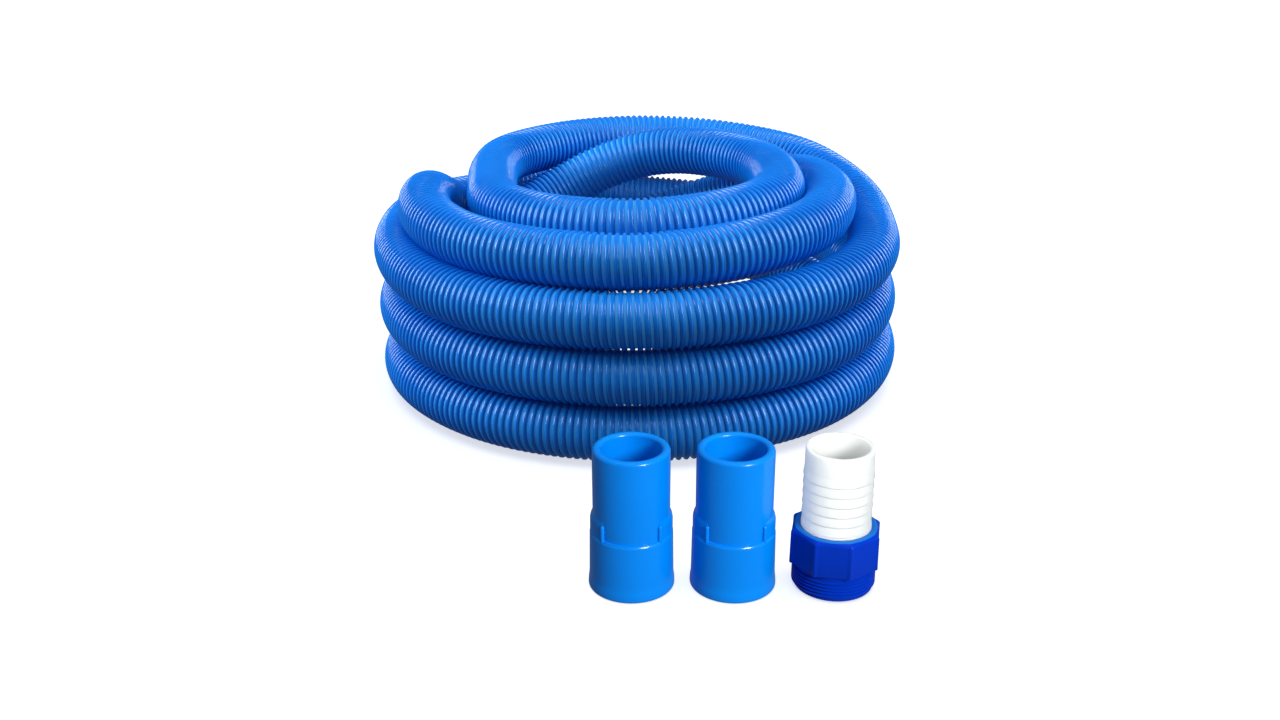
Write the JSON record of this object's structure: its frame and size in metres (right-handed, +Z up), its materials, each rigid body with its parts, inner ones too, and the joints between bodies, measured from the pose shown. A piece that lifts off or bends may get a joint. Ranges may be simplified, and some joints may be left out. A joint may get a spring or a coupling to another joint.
{
  "type": "pool vacuum hose",
  "caption": "Coiled blue spiral-ribbed pool vacuum hose with loose swivel cuffs and a barbed hose adaptor with an octagonal male-threaded nut.",
  "frame": {"origin": "on the floor, under the centre of the box round the whole set", "axes": "+Z up, +Y from the row of loose fittings towards the coil, +X to the right for someone who faces the coil over the fittings"},
  "size_m": [0.46, 0.6392, 0.183],
  "materials": {
    "hose_blue": "satin EVA, ribbed",
    "cuff_azure": "glossy moulded EVA",
    "nut_blue": "glossy moulded ABS",
    "tail_white": "satin moulded ABS",
    "ring_white": "satin acetal",
    "seal_black": "matt rubber"
  },
  "bodies": {
    "hose": {"hose_lower_coil": "hose_blue", "hose_upper_coil": "hose_blue"},
    "left_cuff": {"cuff_shell_left": "cuff_azure", "retaining_ring_left": "ring_white", "hose_seal_left": "hose_blue"},
    "left_swivel": {"threaded_insert_left": "cuff_azure"},
    "right_cuff": {"cuff_shell_right": "cuff_azure", "retaining_ring_right": "ring_white", "hose_seal_right": "hose_blue"},
    "right_swivel": {"threaded_insert_right": "cuff_azure"},
    "adaptor": {"barbed_tail": "tail_white", "flat_gasket": "seal_black"},
    "adaptor_nut": {"swivel_nut": "nut_blue"}
  },
  "joints": [
    {"name": "left_cuff_lift", "type": "slide", "parent": "hose", "child": "left_cuff", "axis": [0, 0, 1], "range_m": [0, 0.15]},
    {"name": "left_swivel_turn", "type": "hinge", "parent": "left_cuff", "child": "left_swivel", "pos_m": [-0.004, -0.29139, 0], "axis": [0, 0, 1], "continuous": true},
    {"name": "right_cuff_lift", "type": "slide", "parent": "hose", "child": "right_cuff", "axis": [0, 0, 1], "range_m": [0, 0.15]},
    {"name": "right_swivel_turn", "type": "hinge", "parent": "right_cuff", "child": "right_swivel", "pos_m": [0.05906, -0.29139, 0], "axis": [0, 0, 1], "continuous": true},
    {"name": "adaptor_lift", "type": "slide", "parent": "hose", "child": "adaptor", "axis": [0, 0, 1], "range_m": [0, 0.15]},
    {"name": "nut_turn", "type": "hinge", "parent": "adaptor", "child": "adaptor_nut", "pos_m": [0.12175, -0.29139, 0], "axis": [0, 0, 1], "continuous": true}
  ]
}
